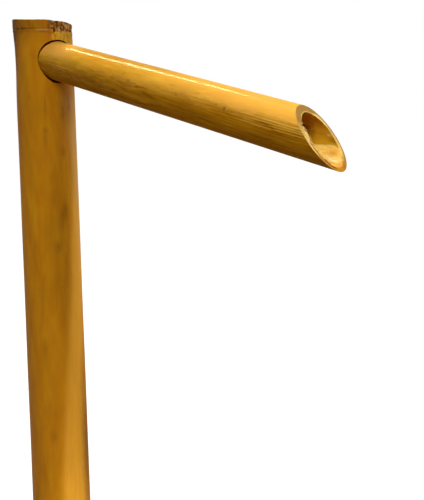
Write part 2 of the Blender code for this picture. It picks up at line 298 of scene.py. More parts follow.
def rimHeight(angle, radius):
    # the top is level; it falls along a slanting plane on the scar's side, with a notch, and lifts opposite
    outward = np.cos(angle - math.radians(postForm["chipAzimuth"])) * radius
    fall = np.maximum(outward - postForm["chipStart"], 0) * math.tan(math.radians(postForm["chipFall"]))
    back = (-np.degrees(angle)) % 360
    lift = postForm["rimLift"] * smoothStep(back, 48, 112) * (1 - smoothStep(back, 185, 235))
    dip = postForm["rimDip"] * hump(degreesRound(angle) + 6, 9)
    return postTop - fall + lift - dip


def buildPost():
    # rows of radius and height from the cup over the rim, down the skin, and up the bore
    form = postForm
    angle = fullTurn(form["around"])[None, :]
    ring = postTop - form["nodeDrop"]
    half = form["diaphragm"] / 2
    wall = form["wall"]
    hole = form["hoseHole"]
    cup = postRadius(ring) - wall
    footBore = form["footRadius"] - wall
    lowBore = postRadius(form["footNode"]) - wall
    nodeLow = form["footNode"] - half
    nodeHigh = form["footNode"] + half
    parts, addRows = startRows(form["around"])

    # cup above the top diaphragm, dished a little towards its middle
    out = steps(0, 1, 14)[1:]
    addRows(out * (cup - 0.6 * mm), ring + half - form["dish"] * (1 - out ** 2), innerRow)
    lift = steps(0, 1, 7)
    cupTop = rimHeight(angle, cup) - 0.3 * mm
    addRows(lift * 0 + cup, (ring + half + 0.5 * mm) * (1 - lift) + cupTop * lift, innerRow)
    # cut rim
    across = steps(0.06, 0.94, 9)
    grain = surfaceNoise(angle, across * 20 * mm, "postRim", 1.6 * mm, 2 * mm, 31)
    outer = postOutside(angle, postTop) - form["rimRound"]
    rimRadius = cup + (outer - cup) * across
    addRows(rimRadius, rimHeight(angle, rimRadius) + 0.12 * mm * grain, cutRow)
    # rounded outer edge: a quarter turn of the rounding radius
    quarter = steps(0, math.pi / 2, 6)
    edgeHeight = rimHeight(angle, outer) - form["rimRound"] * (1 - np.cos(quarter))
    nibble = surfaceNoise(angle, quarter * 2 * mm, "postEdge", 1.8 * mm, 1 * mm, 33)
    edgeHeight = edgeHeight + 0.25 * mm * nibble * np.sin(quarter * 2)
    addRows(outer + form["rimRound"] * np.sin(quarter), edgeHeight, skinRow)
    # outer wall, close rows at the head and at the foot node
    headLow = postTop - form["headLength"]
    start = rimHeight(angle, outer) - form["rimRound"]
    head = start + (headLow - start) * steps(0.02, 1, 72)
    plain = asColumn(np.arange(headLow - 4 * mm, form["footNode"] + 20 * mm, -4 * mm))
    node = asColumn(np.arange(form["footNode"] + 20 * mm, form["footNode"] - 18 * mm, -0.9 * mm))
    low = asColumn(np.arange(form["footNode"] - 20 * mm, 2.5 * mm, -5 * mm))
    for heights in (head, plain, node, low):
        addRows(postOutside(angle, heights), heights, skinRow)
    # foot: small chamfer, cut face, open bore up to the bored node
    footOuter = postOutside(angle, 0.0)
    inset, upward = form["footChamfer"]
    chamfered = footOuter - inset
    addRows(np.vstack([footOuter, chamfered]), asColumn([upward, 0.0]), skinRow)
    inward = steps(0.1, 0.9, 6)
    addRows(chamfered * (1 - inward) + footBore * inward, 0.0, cutRow)
    rise = steps(0, 1, 16)
    addRows(footBore * (1 - rise) + lowBore * rise, nodeLow * rise, innerRow)
    # node: its underside, the bored hole for the hose, and its top
    under = steps(0.08, 1, 8)
    addRows(lowBore + (hole - lowBore) * under, nodeLow - 0.6 * mm * np.sin(under * math.pi), innerRow)
    bored = asColumn([nodeLow + 1 * mm, form["footNode"], nodeHigh - 1 * mm])
    addRows(bored * 0 + hole, bored, cutRow)
    addRows(hole + (lowBore - hole) * steps(0, 1, 6), nodeHigh, innerRow)
    # bore, and the underside of the top diaphragm
    boreHeight = nodeHigh + (ring - half - nodeHigh) * steps(0.02, 1, 60)
    addRows(postRadius(boreHeight) - wall, boreHeight, innerRow)
    addRows(steps(1, 0, 8)[1:-1] * cup, ring - half, innerRow)

    radius, height, kind = [np.vstack(group) for group in zip(*parts)]
    turn = np.broadcast_to(angle, radius.shape)
    poles = [[0, 0, ring + half - form["dish"]], [0, 0, ring - half]]
    vertices = np.vstack([tubePoints(turn, radius, height), poles])

    skin = kind == skinRow
    wood = kind == cutRow
    scar, fibres, flake = scarMasks(turn, height)
    rimNear = 1 - smoothStep(postTop - height, 6 * mm, 12 * mm)
    fields = {
        "cutWood": wood,
        "inside": kind == innerRow,
        "scar": scar * np.maximum(skin, wood * rimNear * 0.6),
        "torn": fibres * skin,
        # pale marks: peeled flakes, and the painted grey reflection under the arm
        "flake": np.maximum(flake * 0.75, softSpots(paintedGreyReflection, turn, height, "post")) * skin,
        # dark marks: stains, and painted shade in the ring groove and on the head's left
        "stain": darkMarksAndShade(turn, height) * skin,
        # painted light: the paler strip on the side under the arm
        "bleach": paintedLightStrip(turn, height) * skin,
    }
    for key in bambooFields[len(fields):]:  # the others lie nowhere on the post
        fields[key] = radius * 0
    fields = {key: np.append(values.ravel(), [key == "inside"] * 2) for key, values in fields.items()}
    fields["culmSpace"] = vertices
    post = makeMesh("bamboo_post", vertices, closedTube(*radius.shape), fields)
    cutSocket(post)
    return post


# Dark marks in the skin of the post: degrees round, height, half width and half length in mm, strength
# the broad mark on the left of the head (-118 degrees, 622 mm) is painted shade
postDarkMarks = [
    (-32, 558, 0.7, 8, 0.5), (-34, 535, 1.5, 1.3, 0.45), (-35, 527, 1.2, 6, 0.25), (19, 556, 2.8, 11, 0.25),
    (1, 513, 2.6, 4.4, 0.36), (3, 551, 3, 7, 0.36), (12, 561, 9, 15, 0.26), (-23, 489, 2.2, 5.5, 0.24),
    (-22, 466, 2.2, 7, 0.24), (0, 456, 3, 6.5, 0.36), (-7, 447, 4, 8, 0.34), (-17, 419, 3.2, 5, 0.42),
    (-63, 567, 0.8, 1, 0.35), (-46, 501, 1.4, 2, 0.2), (-40, 219, 3, 5, 0.36), (-52, 315, 3, 7.5, 0.24),
    (-84, 338, 2.6, 7, 0.26), (-44, 250, 5, 14, 0.16), (-50, 180, 6, 20, 0.16), (-12, 380, 7, 26, 0.14),
    (60, 300, 4, 16, 0.25), (130, 420, 3, 20, 0.35), (170, 250, 2.5, 12, 0.4), (215, 500, 3, 15, 0.3),
    (250, 330, 2, 9, 0.4), (110, 180, 3.5, 14, 0.3), (-118, 622, 12, 26, 1), (-80, 634, 18, 9, 0.55),
    (-38, 638, 14, 5, 0.22), (-104, 560, 9, 50, 0.2), (40, 200, 9, 62, 0.74), (2, 400, 5, 60, 0.14),
    (-118, 300, 6, 90, 0.2), (-100, 640, 3, 1.6, 0.6), (-88, 641, 2, 1, 0.5), (-74, 640.5, 1.6, 0.8, 0.45),
    (-60, 640, 1.2, 0.6, 0.35), (-30, 628.4, 5, 0.5, 0.5), (-14, 627.6, 2, 0.5, 0.35),
    (-16, 638.6, 1.2, 1.2, 0.9), (-12, 636.6, 1.5, 0.9, 0.95), (-6, 634.8, 2.6, 0.8, 0.9),
    (5, 634.6, 2.8, 0.9, 0.8), (-20, 633.5, 0.8, 2.6, 0.6), (56, 632, 3.2, 4.2, 0.75),
    (12, 630, 3, 0.8, 0.35), (45, 636.5, 3.6, 2.4, 0.8), (36, 631, 3.5, 1.2, 0.45),
    (22, 625.5, 1.2, 3, 0.4), (31, 622.5, 1, 3.5, 0.35), (40, 626, 1.4, 2.6, 0.4), (50, 621.5, 1, 3, 0.35),
    (14, 622, 0.9, 2.4, 0.3),
]

# Painted grey reflection on the skin under the arm, in the same terms
paintedGreyReflection = [
    (30, 560, 8, 12, 0.66), (36, 530, 9, 20, 0.46), (40, 490, 7, 30, 0.4), (44, 440, 6, 36, 0.3),
]


def darkMarksAndShade(angle, height):
    # the marks listed above, and a dark line in the groove of the upper node's ring, which is painted shade,
    # stronger on the swollen side
    total = softSpots(postDarkMarks, angle, height, "post")
    ring = hump(postTop - postForm["nodeDrop"] - height, 0.55 * mm)
    side = 0.3 + 0.35 * np.cos(angle - math.radians(postForm["swellAzimuth"]))
    return np.clip(total + np.maximum(side, 0.05) * ring, 0, 1)


def paintedLightStrip(angle, height):
    # painted light: a paler strip on the side under the arm; it widens lower down, and turns round the culm
    degrees = degreesRound(angle)
    places = np.array([0, 170, 280, 330, 430, 480, 640]) * mm
    low = np.interp(height, places, [-30, -27, -10, -3, 11, 22, 30])
    high = np.interp(height, places, [26, 24, 24, 36, 50, 58, 62])
    strip = smoothStep(degrees, low - 9, low + 11) * (1 - smoothStep(degrees, high - 9, high + 20))
    return strip * (1 - smoothStep(height, 500 * mm, 590 * mm))


def cutSocket(post):
    # round hole on the arm's axis, through the near wall: radius + five faint lobes, less a soft bump where
    # it comes close, plus one on each side of that
    form = postForm
    turn = fullTurn(form["socketAround"])
    near, above, below = [hump(np.degrees(turn) - place, width) for place, width in form["socketBumps"]]
    reach = form["socketRadius"] - form["socketClose"] * near + 0.08 * mm * np.cos(5 * turn + 1)
    reach = reach + form["socketOpen"] * (0.7 * above + below)
    rings = [armPoints(turn, reach, turn * 0 + end) for end in form["socketEnds"]]
    poles = [armPivot + armAlong * end for end in form["socketEnds"]]
    cutter = makeMesh("socket_cutter", np.vstack(rings + [poles]), closedTube(2, form["socketAround"]))
    cut = post.modifiers.new("socket", "BOOLEAN")
    cut.object = cutter
    cut.solver = "EXACT"
    bpy.context.view_layer.update()
    finished = bpy.data.meshes.new_from_object(post.evaluated_get(bpy.context.evaluated_depsgraph_get()))
    post.modifiers.clear()
    post.data = finished
    bpy.data.objects.remove(cutter)


# Arm: an outline of radius and distance carried round its own sloping axis, and cut on the slant

armForm = {
    "around": 200,
    "buttRadius": 18.43 * mm,
    "mouthRadius": 18.74 * mm,
    "wall": 4.3 * mm,
    "reach": 380.4 * mm,  # from the post's axis to the middle of the cut
    "mouthAngle": 37.9,  # degrees between the cut and the axis
    "mouthTwist": 9.2,  # degrees: the cut is turned this much round the axis
    "sideThin": 1.05 * mm,  # the wall is this much thinner at the sides of the cut
    "lipThin": 0.85 * mm,  # and again this much at the lip
    "thinFrom": 318 * mm,  # along the arm: it starts to thin out here
    "thinTo": 352 * mm,  # and is thinnest from here on
    "flap": 2.2 * mm,  # torn wood standing inwards on the near side
    "edgeRound": 0.45 * mm,
    "buttStart": 3 * mm,
    "buttChamfer": 0.4 * mm,
    "rowStep": 2.5 * mm,  # from one row of points to the next, twice as far in the bore
    "denseFrom": 335 * mm,  # rows of points are close from here to the cut
    "wetHeight": (533.6 * mm, 535.2 * mm),  # the bore is wet up to this height over the foot
    "wetFrom": (322 * mm, 352 * mm),  # and from these distances along the arm on
    "wetCutFrom": (386 * mm, 401 * mm),
}


def armRadius(along):
    # straight taper from the butt to the mouth
    form = armForm
    return form["buttRadius"] + (form["mouthRadius"] - form["buttRadius"]) * along / form["reach"]


def mouthPlane(angle, radius):
    # distance along the axis at which the slanting plane crosses a line at this angle and radius
    form = armForm
    lean = math.tan(math.radians(form["mouthAngle"]))
    return form["reach"] - radius * np.cos(angle - math.radians(form["mouthTwist"])) / lean


def armWall(angle, along):
    # full thickness at the top of the cut, thinner at its sides and lip; even deeper inside
    form = armForm
    upward = np.cos(angle)
    thin = form["sideThin"] * (1 - smoothStep(upward, 0.2, 0.95))
    thin = thin + form["lipThin"] * smoothStep(-upward, 0.75, 1)
    return form["wall"] - thin * smoothStep(along, form["thinFrom"], form["thinTo"])


def armPoints(angle, radius, along):
    # pivot + distance along the axis + radius times (cosine of up + sine of sideways)
    spoke = np.cos(angle)[..., None] * armUp + np.sin(angle)[..., None] * armSide
    return armPivot + armAlong * along[..., None] + spoke * radius[..., None]


def armSkin(angle, along):
    # true radius with slow waves and a slight flattening
    radius = armRadius(along)
    radius = radius + 0.06 * mm * np.cos(2 * angle + 0.6)
    radius = radius + 0.04 * mm * surfaceNoise(angle, along, "arm", 20 * mm, 60 * mm, 41)
    return radius + 0.005 * mm * surfaceNoise(angle, along, "arm", 2.5 * mm, 25 * mm, 42)


def buildArm():
    # rows of radius and distance from the butt along the skin, over the cut, and back down the bore
    form = armForm
    angle = fullTurn(form["around"])[None, :]
    butt = form["buttStart"]
    edge = form["edgeRound"]
    parts, addRows = startRows(form["around"])

    def ribs(along):
        return 0.05 * mm * surfaceNoise(angle, along, "bore", 1.6 * mm, 30 * mm, 54)

    chamfer = form["buttChamfer"]
    rowStep = form["rowStep"]
    slope = asColumn([0.0, chamfer])
    addRows(armSkin(angle, butt) - chamfer + slope, butt + slope, skinRow)
    plain = asColumn(np.arange(butt + rowStep, form["denseFrom"], rowStep))
    addRows(armSkin(angle, plain), plain, skinRow)
    # from there every line runs to its own point on the slanting plane
    tip = mouthPlane(angle, armRadius(form["reach"])) - edge
    dense = form["denseFrom"] + (tip - form["denseFrom"]) * steps(0, 1, 64)[1:]
    addRows(armSkin(angle, dense), dense, skinRow)
    # the cut's inner edge is rough and fibrous on the near side, and clean elsewhere
    outer = armSkin(angle, tip)
    bore = armRadius(form["reach"]) - armWall(angle, form["reach"])
    degrees = degreesRound(angle)
    ragged = softBand(degrees, -150, -48, 12)
    tear = surfaceNoise(angle, 1 * mm, "bore", 2.2 * mm, 4 * mm, 51)
    tear = tear + 0.7 * surfaceNoise(angle, 9 * mm, "bore", 0.8 * mm, 4 * mm, 52)
    bore = bore + (0.55 * tear * ragged + 0.05 * tear) * mm - form["flap"] * softBand(degrees, -91, -71, 5)
    # cut face, between two edges rounded by a quarter turn
    turn = steps(0, math.pi / 2, 6)
    radius = outer - edge * (1 - np.cos(turn))
    addRows(radius, mouthPlane(angle, radius) - edge * (1 - np.sin(turn)), cutRow)
    across = steps(0.05, 0.95, 14)
    radius = (outer - edge) * (1 - across) + (bore + edge) * across
    saw = surfaceNoise(angle, across * 4 * mm, "mouthCut", 1.1 * mm, 0.6 * mm, 53)
    addRows(radius, mouthPlane(angle, radius) + 0.07 * mm * saw, cutRow)
    back = turn[::-1]
    radius = bore + edge * (1 - np.cos(back))
    torn = 0.5 * mm * np.abs(tear) * ragged
    addRows(radius, mouthPlane(angle, radius) - edge * (1 - np.sin(back)) - torn, cutRow)
    # bore: close rows to where the wall is full, plain rows on to the butt, and the butt's own face
    share = steps(0, 1, 52)[1:]
    start = mouthPlane(angle, bore) - edge
    dense = start + (form["thinFrom"] - start) * share
    settle = smoothStep(share, 0.0, 0.1)
    lining = armRadius(dense) - armWall(angle, dense) + ribs(dense)
    addRows(bore * (1 - settle) + lining * settle, dense, innerRow)
    plain = asColumn(np.arange(form["thinFrom"] - 2 * rowStep, butt, -2 * rowStep))
    addRows(armRadius(plain) - form["wall"] + ribs(plain), plain, innerRow)
    share = steps(0.0, 0.9, 6)
    addRows(armRadius(butt) - form["wall"] + (form["wall"] - chamfer) * share, butt, cutRow)

    radius, along, kind = [np.vstack(group) for group in zip(*parts)]
    turn = np.broadcast_to(angle, radius.shape)
    vertices = armPoints(turn, radius, along).reshape(-1, 3)
    # wet floor of the bore: everything under one level line, close to the mouth; it is painted lighter, as
    # painted light on the water
    ripple = 1.5 * mm * surfaceNoise(turn, along, "bore", 3.5 * mm, 5 * mm, 55).ravel()
    under = 1 - smoothStep(vertices[:, 2] + ripple, *form["wetHeight"])
    skin = kind == skinRow
    wood = kind == cutRow
    inner = kind == innerRow
    scratches, paleScratchesAndHighlights, ticks = armMarks(turn, along)

    def inBore(spots):
        return softSpots(spots, turn, along, "boreMarks") * inner

    fields = {
        "cutWood": wood,
        "inside": inner,
        "scar": radius * 0,
        "torn": scratches * skin,
        # pale scores, with painted highlights among them
        "flake": paleScratchesAndHighlights * skin,
        "stain": ticks * skin + inBore(boreDark),
        "amber": inBore(boreAmber),
        "glint": inBore(boreGlints),
        "shade": shadedEdge(turn, radius) * wood * (along > 200 * mm),  # not on the cut at the butt
        "worn": armWorn(turn, along) * skin,
        # pale cut, with painted highlight on its inner edge
        "fresh": freshCut(turn, radius),
        # painted light on the wet floor
        "dampAndLit": under * smoothStep(along, *form["wetFrom"]).ravel(),
        # painted light beside the socket, and paler towards the mouth
        "bleach": armPaleAndPaintedLight(turn, along),
        "wet": smoothStep(along, *form["wetCutFrom"]),
    }
    fields = {key: values.ravel() for key, values in fields.items()}
    fields["culmSpace"] = tubePoints(turn, radius, along)
    return makeMesh("bamboo_arm", vertices, ringFaces(*radius.shape, True), fields)


def armPaleAndPaintedLight(angle, along):
    # painted light on top beside the socket, where the post's shadow falls; and paler all round towards the
    # mouth
    upper = softBand(degreesRound(angle), -64, 90, 12)
    return upper * (1 - smoothStep(along, 45 * mm, 90 * mm)) + 0.75 * smoothStep(along, 110 * mm, 330 * mm)


def armWorn(angle, along):
    # weathered skin on the lower near side, reaching higher up towards the mouth
    degrees = degreesRound(angle)
    upper = -76 + 6 * smoothStep(along, 150 * mm, 300 * mm)
    lower = smoothStep(-degrees, -upper - 22, -upper + 26) * (1 - smoothStep(degrees, 100, 165))
    lower = np.where(degrees > 60, smoothStep(degrees, 80, 140), lower)
    return lower * (0.72 + 0.28 * smoothStep(along, 40 * mm, 300 * mm))


def freshCut(angle, radius):
    # pale wood on the lower near part of the cut and at the lip, and painted highlight on the inner edge all
    # round, widest on the far side
    degrees = degreesRound(angle)
    near = softBand(degrees, -170, -66, 14)
    far = softBand(degrees, 36, 150, 12)
    inner = 1 - smoothStep(radius, 14.6 * mm + far * 2.2 * mm, 15.4 * mm + far * 2 * mm)
    lip = smoothStep(np.abs(degrees), 140, 170)
    return np.clip(near + inner + lip * 0.5, 0, 1)


def shadedEdge(angle, radius):
    # darker along the inner half of the cut, low on the near side: soaked wood, with painted shade at the
    # inner edge
    degrees = degreesRound(angle)
    depth = radius - (armRadius(armForm["reach"]) - armWall(angle, armForm["reach"]))
    return softBand(degrees, -164, -94, 6) * (1 - smoothStep(depth, 0.9 * mm, 1.7 * mm))


# Dark marks in the skin of the arm: degrees round from its top, distance along in mm, half width and half
# length in mm, strength
armTicks = [
    (-78, 146.6, 0.7, 0.8, 0.75), (-79, 149.5, 0.4, 0.5, 0.5), (-73, 294.3, 0.6, 0.9, 1),
    (-75, 295, 1.6, 0.7, 0.9), (-71, 286.4, 1, 0.8, 0.8), (-70, 289.5, 0.9, 0.6, 0.7),
    (-72, 262, 0.6, 0.5, 0.35), (-66, 232, 0.8, 0.4, 0.35), (-95, 210, 2.2, 16, 0.2),
    (-112, 250, 1.6, 22, 0.3), (-118, 330, 1.4, 18, 0.35), (-104, 350, 1, 16, 0.35),
    (-60, 205, 1.6, 6, 0.15), (-52, 91, 0.8, 1, 0.25), (20, 120, 1, 1.2, 0.4), (-59, 160, 1.2, 1.2, 0.3),
    (-75, 170, 1.6, 2, 0.35), (-54, 227, 0.4, 2.2, 0.35), (-74, 235, 1.4, 0.6, 0.35),
    (-57, 260, 0.5, 1.8, 0.4), (-16, 81, 0.8, 0.7, 0.45), (60, 220, 1.4, 12, 0.3), (110, 160, 1.6, 20, 0.3),
    (150, 300, 1.2, 15, 0.3), (-75.5, 372, 0.4, 4.5, 0.55), (-79.5, 374, 0.4, 4.5, 0.6),
    (-83.5, 377, 0.4, 4, 0.45),
]

# Pale lines in it; the two at -58 and -61.5 degrees, near the mouth, are painted highlights
paleScoresAndHighlights = [
    (-91, 62, 0.45, 15, 0.55), (-31, 37, 0.6, 4, 0.5), (-70, 322, 0.6, 7, 0.45), (-72, 345, 0.5, 9, 0.55),
    (-75, 362, 0.5, 7, 0.55), (-66, 300, 0.6, 5, 0.35), (-88, 330, 0.5, 10, 0.35), (-79, 225, 0.8, 12, 0.3),
    (-84, 268, 0.7, 14, 0.3), (-77.5, 374, 0.4, 4, 0.8), (-81.5, 376, 0.4, 4, 0.75),
    (-73.5, 371, 0.45, 3.5, 0.5), (-58, 355, 0.6, 5, 0.55), (-61.5, 369, 0.6, 4, 0.55),
    (-55, 341, 0.6, 4, 0.4),
]

# Spots in the bore near the mouth, in the same terms: dark streaks, amber patches, small bright glints
boreDark = [
    (104, 380.5, 0.5, 5, 0.8), (99, 377, 0.4, 4, 0.65), (109, 384, 0.4, 3, 0.5), (94, 380, 0.4, 4, 0.4),
    (150, 397.5, 0.4, 3.5, 0.35), (164, 400, 0.4, 3, 0.4), (176, 398, 0.4, 4, 0.35),
    (-172, 392, 0.4, 6, 0.35), (20, 352, 2, 6, 0.25),
]
boreAmber = [
    (134, 383.5, 2.4, 4.2, 0.8), (156, 398, 2.2, 4, 0.7), (168, 389, 0.9, 7, 0.6), (176, 402, 3.2, 4, 0.8),
    (163, 383, 0.8, 5, 0.5), (152, 383, 1.6, 5, 0.35),
]
boreGlints = [
    (149, 380.8, 0.5, 1.5, 0.8), (153, 384.6, 0.5, 1.5, 1), (158, 388.2, 0.5, 1.5, 0.9),
    (155.5, 390.4, 0.5, 1.5, 1), (147, 387, 0.4, 1.4, 0.6), (150, 393, 0.4, 1.4, 0.5),
    (91.4, 372.6, 0.5, 1, 0.55), (90.4, 374.6, 0.4, 0.7, 0.3), (37.6, 359.5, 0.5, 0.6, 0.6),
    (75.4, 357, 0.45, 0.6, 0.26), (75.4, 359.3, 0.45, 0.6, 0.2), (89, 355.5, 0.45, 0.6, 0.26),
    (87.4, 362.7, 0.4, 0.6, 0.22),
]


def armMarks(angle, along):
    # rows of long fine scores near the mouth, dark and pale, and short ticks and specks as soft ellipses
    degrees = degreesRound(angle)
    band = softBand(degrees, -92, -70, 5) * smoothStep(along, 290 * mm, 345 * mm)
    # cosine of the distance round, 2 mm from line to line, bent a little; real scores lie twice as close
    bend = surfaceNoise(angle, along, "arm", 4 * mm, 26 * mm, 61)
    lines = np.cos(np.radians(degrees) * patternRadius["armMarks"] * math.tau / (2 * mm) + bend * 1.6)
    scores = band * smoothStep(lines, 0.5, 0.96) * 0.95
    paleLinesAndHighlights = band * smoothStep(-lines, 0.6, 0.98) * 0.7
    # the listed pale places include two painted highlights
    paleLinesAndHighlights = paleLinesAndHighlights + softSpots(paleScoresAndHighlights, angle, along, "armMarks")
    # a darker, browner strip lies along the very top, weaker towards the mouth
    strip = smoothStep(along, 50 * mm, 95 * mm) * (1 - 0.65 * smoothStep(along, 110 * mm, 290 * mm))
    ticks = 0.3 * softBand(degrees, -22, 34, 9) * strip
    ticks = ticks + softSpots(armTicks, angle, along, "armMarks")
    return scores, np.clip(paleLinesAndHighlights, 0, 1), np.clip(ticks, 0, 1)


# Fibres: short hairs of wood left on the near inner edge of the mouth, thicker than real ones so that
# they show

fibreForm = {"count": 34, "sides": 6, "steps": 8, "radius": 0.34 * mm, "length": 5.6 * mm, "seed": 5}


def buildFibres():
    # each hair: a line that leaves the edge inwards and bends back along it, tapering to a point
    form = fibreForm
    rng = np.random.default_rng(form["seed"])
    count = form["count"]
    angle = np.radians(rng.uniform(-146, -52, count))[:, None]
    reach = (form["length"] * rng.uniform(0.4, 1.0, count) ** 2)[:, None]
    bend = rng.uniform(-1.3, 1.3, count)[:, None]
    lift = rng.uniform(-0.5, 0.6, count)[:, None]
    step = np.linspace(0, 1, form["steps"])[None, :]
    base = armRadius(armForm["reach"]) - armWall(angle, armForm["reach"]) + 0.25 * mm
    radius = base - reach * step * 0.75
    turn = angle + reach / base * bend * step ** 2
    along = mouthPlane(turn, radius) - 0.35 * mm + reach * lift * step ** 2
    centre = armPoints(turn, radius, along)
    thick = form["radius"] * (1 - step) ** 0.6 + 0.008 * mm
    around = fullTurn(form["sides"])
    tangent = np.cos(turn)[..., None] * armSide - np.sin(turn)[..., None] * armUp
    offset = np.cos(around)[:, None] * armAlong + np.sin(around)[:, None] * tangent[:, :, None, :]
    vertices = centre[:, :, None, :] + offset * thick[..., None, None]
    each = form["steps"] * form["sides"]
    ends = [list(range(form["sides"])), list(range(each - 1, each - 1 - form["sides"], -1))]
    hair = ringFaces(form["steps"], form["sides"], False) + ends
    faces = [[shift + corner for corner in face] for shift in range(0, count * each, each) for face in hair]
    return makeMesh("mouth_fibres", vertices.reshape(-1, 3), faces)


# Materials

def linear(code):
    # sRGB hex to linear light
    parts = np.array([int(code[index:index + 2], 16) for index in (1, 3, 5)]) / 255
    curved = np.where(parts > 0.04045, ((parts + 0.055) / 1.055) ** 2.4, parts / 12.92)
    return tuple(curved.tolist()) + (1.0,)


def addNode(tree, kind, inputs=(), stops=(), **settings):
    # inputs in their order, or by name or number: values, hex colours or outputs of other nodes
    node = tree.nodes.new("ShaderNode" + kind)
    for key, value in settings.items():
        setattr(node, key, value)
    for key, value in inputs.items() if isinstance(inputs, dict) else enumerate(inputs):
        if isinstance(value, bpy.types.NodeSocket):
            tree.links.new(value, node.inputs[key])
        else:
            node.inputs[key].default_value = linear(value) if isinstance(value, str) else value
    if stops:
        elements = node.color_ramp.elements  # it starts with two
        for place, colour in stops[2:]:
            elements.new(place)
        for element, (place, colour) in zip(elements, sorted(stops)):
            element.position = place
            element.color = linear(colour)
    return node.outputs


def newMaterial(name, settings):
    # a material, and what adds a node to it and links one to its shader
    material = bpy.data.materials.new(name)
    material.use_nodes = True
    tree = material.node_tree
    shader = tree.nodes["Principled BSDF"]
    for key, value in settings.items():
        shader.inputs[key].default_value = value

    def plug(key, source):
        tree.links.new(source, shader.inputs[key])

    return material, partial(addNode, tree), plug


def addPatterns(add, space, plans):
    # clouded patterns, each from its plan: cells in a metre along x, y and z, detail, roughness, distortion
    patterns = {}
    for name, (cells, detail, roughness, distortion) in plans.items():
        mapped = add("Mapping", {"Vector": space, "Scale": cells})[0]
        patterns[name] = add("TexNoise", {"Vector": mapped, "Scale": 1, "Detail": detail,
                                          "Roughness": roughness, "Distortion": distortion})[0]
    return patterns


# Lacquered bamboo: a hard, silica-rich skin under thin clear varnish. It gives the eye one thin line of
# shine, deep honey colour, slow clouds 10 mm wide, and faint streaks along the culm; real fibres are
# about 0.3 mm apart, and they are drawn 1 mm apart so that they show.
armLook = {
    "dark": "#d89819", "body": "#e6aa28", "light": "#f4bc39",
    "red": "#e8962a", "olive": "#cf9a24", "stain": "#5a3a0c",
    # the pale-cut colour also paints highlight on the inner edge; the soaked colour also paints shade
    "cut": "#b48a48", "cutDark": "#846030", "freshCut": "#ffdb7c", "wetCut": "#d2922e", "soaked": "#96560e",
    # the wet-floor colour is painted light
    "inside": "#cc961c", "wetFloorPaintedLight": "#ffd870", "amber": "#e0901e", "glint": "#ffecb4",
    "scarDark": "#6a380e", "scarMid": "#b5761c", "scarLight": "#f0c088",
    # the pale-mark colour also paints highlights; the pale-strip colour paints light
    "torn": "#4c2e06", "flake": "#fac24a", "bleach": "#f4b34e",
    "worn": "#a66e08", "wornFar": "#be800c", "wornDark": "#824e00", "wornPale": "#dca01c",
    "roughness": 0.32, "rawRoughness": 0.65, "coat": 0.11, "coatRoughness": 0.15, "specular": 0.0,
    "fibreContrast": 0.035, "mottle": 0.62,
}
# The post has no wet or weathered places, so the arm's tones for those stay unused on it
postLook = {
    **armLook,
    "dark": "#c78006", "body": "#d28b09", "light": "#db9910",
    # the dark-mark colour also paints shade in the ring groove and on the head's left
    "red": "#c98212", "olive": "#b8860f", "stain": "#6e4004",
    "cut": "#cfa362", "cutDark": "#8a6130", "inside": "#b98430",
    "scarDark": "#54280a", "scarLight": "#f4c890",
    # the pale-mark colour also paints the grey reflection; the pale-strip colour paints light
    "torn": "#ffcb3e", "flake": "#dcb074", "bleach": "#f4b036",
    "roughness": 0.36, "coat": 0.1, "coatRoughness": 0.12, "fibreContrast": 0.018, "mottle": 0.42,
}


bambooPatterns = {
    "cloud": ((100, 100, 25), 3, 0.5, 0.4),  # 10 x 40 mm
    "streak": ((250, 250, 34), 3, 0.5, 0.5),  # 4 x 30 mm
    "fine": ((1000, 1000, 26), 2, 0.5, 0),  # fibres, 1 x 40 mm
    "hue": ((60, 60, 14), 2, 0.5, 0.6),  # 17 x 70 mm, leaning to olive or red
    "wisp": ((480, 480, 70), 4, 0.6, 0.9),  # blotches 2 x 14 mm at the edge of the weathered side
    "lines": ((700, 700, 24), 4, 0.65, 0.3),  # 1.4 mm; in truth about 0.4 mm, drawn wider so that they show
    "strand": ((620, 620, 90), 3, 0.65, 0),  # torn strands 1.6 x 11 mm
    "bark": ((330, 330, 300), 4, 0.65, 0),  # patches of the scar, 3 mm wide
    "mottle": ((420, 420, 160), 2, 0.5, 0),  # unevenness of the stains, 2.4 x 6 mm
    "wetTone": ((240, 240, 110), 3, 0.6, 0.5),  # patches of the wet bore, 4 mm wide
}


